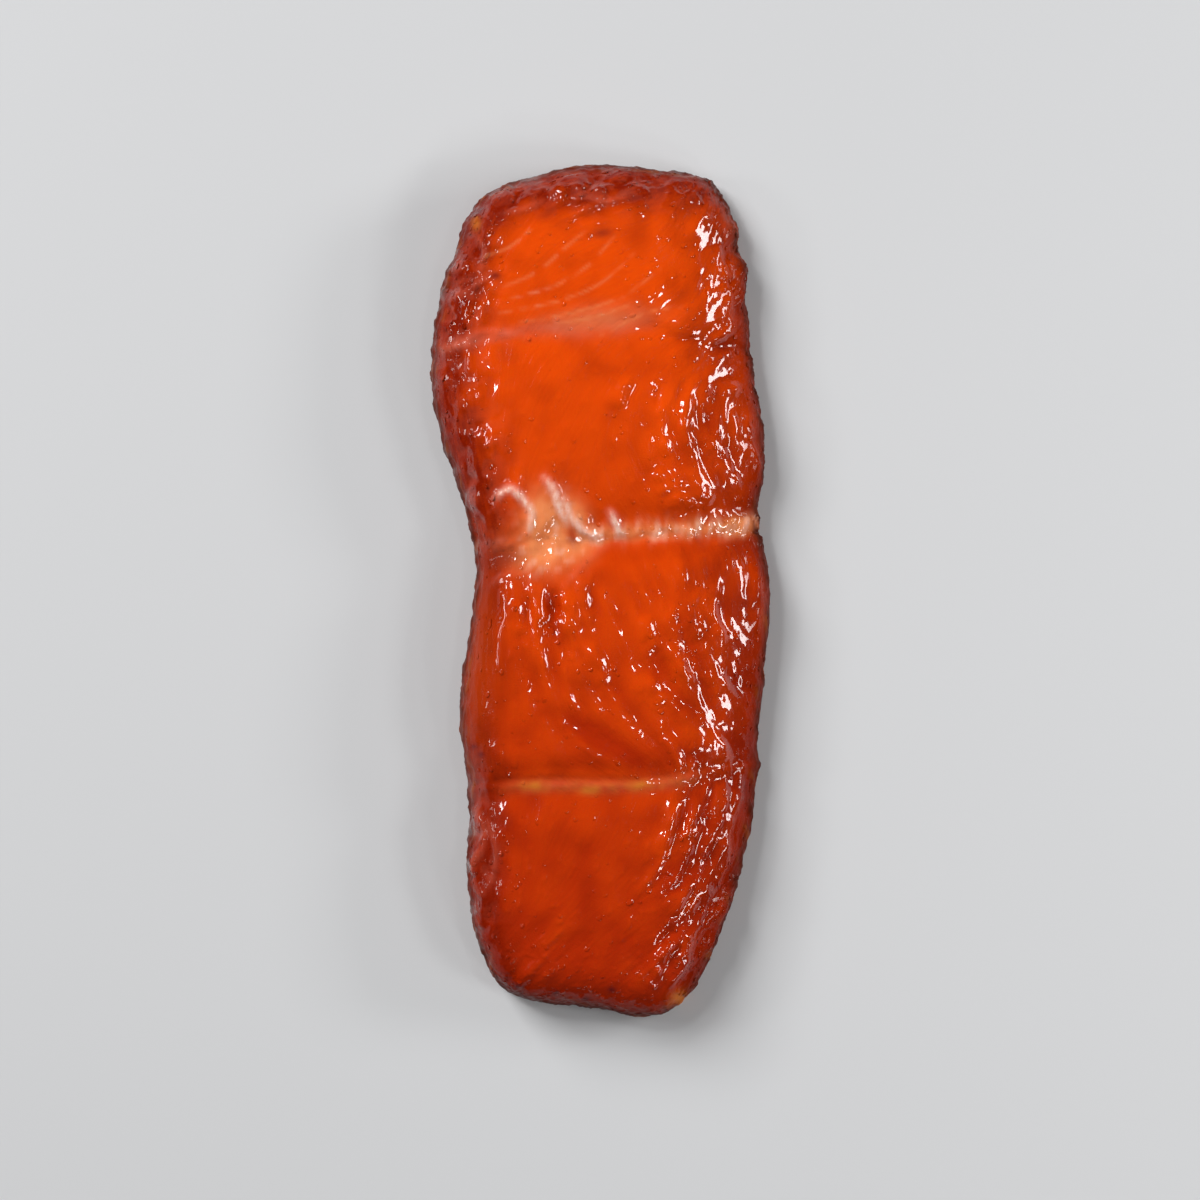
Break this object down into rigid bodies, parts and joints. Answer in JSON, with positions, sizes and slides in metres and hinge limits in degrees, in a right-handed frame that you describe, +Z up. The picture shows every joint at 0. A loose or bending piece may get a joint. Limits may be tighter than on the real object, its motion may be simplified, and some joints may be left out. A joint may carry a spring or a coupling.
{
  "type": "smoked salmon fillet",
  "caption": "Long strip of glazed hot-smoked salmon, plump lobes between cross seams, flat underneath to rest on a board or plate.",
  "frame": {"origin": "under the middle of the fillet's box, on the surface that it lies on", "axes": "+Y along the fillet towards its broad end, +Z up from the underside to the flesh"},
  "size_m": [0.092, 0.2302, 0.0216],
  "materials": {
    "glazed_flesh": "gloss"
  },
  "bodies": {
    "root": {"smoked_fillet": "glazed_flesh"}
  },
  "joints": []
}
